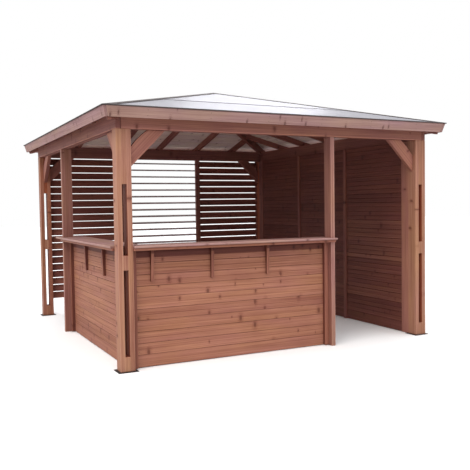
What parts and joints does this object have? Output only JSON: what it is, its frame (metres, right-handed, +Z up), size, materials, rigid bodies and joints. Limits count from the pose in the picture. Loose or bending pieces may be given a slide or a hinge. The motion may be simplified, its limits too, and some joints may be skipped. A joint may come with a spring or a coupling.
{
  "type": "pool shelter",
  "caption": "Open timber pool shelter with slotted corner posts, a low hipped roof, a boarded right side, a louvred back and a half-height corner bar with a counter.",
  "frame": {"origin": "on the ground, under the middle of the plan", "axes": "+Z up, the bar front looks along -Y, the boarded side is towards +X"},
  "size_m": [3.8254, 4.0254, 2.8357],
  "materials": {
    "frame_timber": "planed softwood with a red-brown stain",
    "board_timber": "grooved boards with a red-brown stain",
    "fascia_timber": "planed softwood with a paler worn stain",
    "counter_timber": "planed softwood with a paler worn stain",
    "slat_timber": "thin boards with a dark stain",
    "roof_boards": "pale unstained boards",
    "roof_membrane": "smooth light grey membrane",
    "plate_steel": "dark painted steel"
  },
  "bodies": {
    "root": {"bar_post_front": "frame_timber", "bar_post_left": "frame_timber", "bar_wall_battens": "frame_timber", "bar_wall_front": "board_timber", "bar_wall_left": "board_timber", "beam_back": "frame_timber", "beam_front": "frame_timber", "beam_left": "frame_timber", "beam_right": "frame_timber", "braces_back": "frame_timber", "braces_front": "frame_timber", "braces_left": "frame_timber", "counter_brackets_front": "frame_timber", "counter_brackets_left": "frame_timber", "counter_front": "counter_timber", "counter_left": "counter_timber", "counter_rails": "frame_timber", "fascia_back": "fascia_timber", "fascia_front": "fascia_timber", "fascia_left": "fascia_timber", "fascia_right": "fascia_timber", "foot_plates": "plate_steel", "hip_rafters": "frame_timber", "louvre_stiles": "frame_timber", "louvres_left_bay": "slat_timber", "louvres_middle_bay": "slat_timber", "louvres_right_bay": "slat_timber", "post_back_left": "frame_timber", "post_back_right": "frame_timber", "post_blocks": "frame_timber", "post_front_left": "frame_timber", "post_front_right": "frame_timber", "rafters_back": "frame_timber", "rafters_front": "frame_timber", "rafters_left": "frame_timber", "rafters_right": "frame_timber", "ridge_block": "frame_timber", "right_wall_back_bay": "board_timber", "right_wall_front_bay": "board_timber", "right_wall_middle_bay": "board_timber", "right_wall_studs": "frame_timber", "roof_deck_back": "roof_boards", "roof_deck_front": "roof_boards", "roof_deck_left": "roof_boards", "roof_deck_right": "roof_boards", "roofing_back": "roof_membrane", "roofing_front": "roof_membrane", "roofing_left": "roof_membrane", "roofing_right": "roof_membrane"}
  },
  "joints": []
}
